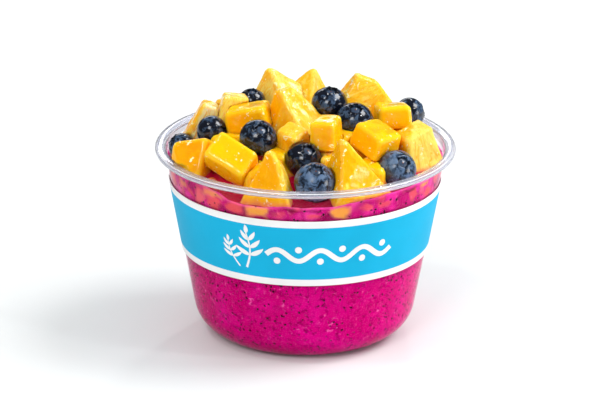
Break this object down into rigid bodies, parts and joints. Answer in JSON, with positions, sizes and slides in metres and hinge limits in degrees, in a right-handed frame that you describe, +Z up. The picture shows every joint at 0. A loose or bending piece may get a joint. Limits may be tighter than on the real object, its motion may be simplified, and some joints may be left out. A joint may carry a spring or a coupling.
{
  "type": "pitaya bowl",
  "caption": "Clear bowl with a rolled rim and a paper sleeve, filled with pitaya puree and heaped with mango blocks, pineapple chunks and blueberries.",
  "frame": {"origin": "middle of the flat base, in the plane the bowl stands on", "axes": "+X to the right of the side the picture shows, +Y away from it, +Z up along the bowl's axis"},
  "size_m": [0.117, 0.117, 0.1004],
  "materials": {
    "clear_plastic": "clear, glossy",
    "sleeve_paper": "coated paper, satin",
    "puree": "wet, with fine black seeds",
    "blueberry": "waxy bloom over a glossy skin",
    "mango": "wet, smooth",
    "pineapple": "wet, fibrous"
  },
  "bodies": {
    "root": {"blueberry_01": "blueberry", "blueberry_02": "blueberry", "blueberry_03": "blueberry", "blueberry_04": "blueberry", "blueberry_05": "blueberry", "blueberry_06": "blueberry", "blueberry_07": "blueberry", "blueberry_08": "blueberry", "blueberry_09": "blueberry", "blueberry_10": "blueberry", "blueberry_11": "blueberry", "blueberry_12": "blueberry", "blueberry_13": "blueberry", "bowl": "clear_plastic", "mango_01": "mango", "mango_02": "mango", "mango_03": "mango", "mango_04": "mango", "mango_05": "mango", "mango_06": "mango", "mango_07": "mango", "mango_08": "mango", "mango_09": "mango", "mango_10": "mango", "mango_11": "mango", "mango_12": "mango", "mango_13": "mango", "mango_14": "mango", "mango_15": "mango", "mango_16": "mango", "mango_17": "mango", "mango_18": "mango", "mango_19": "mango", "mango_20": "mango", "mango_21": "mango", "pineapple_01": "pineapple", "pineapple_02": "pineapple", "pineapple_03": "pineapple", "pineapple_04": "pineapple", "pineapple_05": "pineapple", "pineapple_06": "pineapple", "pineapple_07": "pineapple", "pineapple_08": "pineapple", "pineapple_09": "pineapple", "pineapple_10": "pineapple", "pineapple_11": "pineapple", "pineapple_12": "pineapple", "pineapple_13": "pineapple", "pineapple_14": "pineapple", "pineapple_15": "pineapple", "pineapple_16": "pineapple", "pitaya_puree": "puree", "sleeve": "sleeve_paper"}
  },
  "joints": []
}
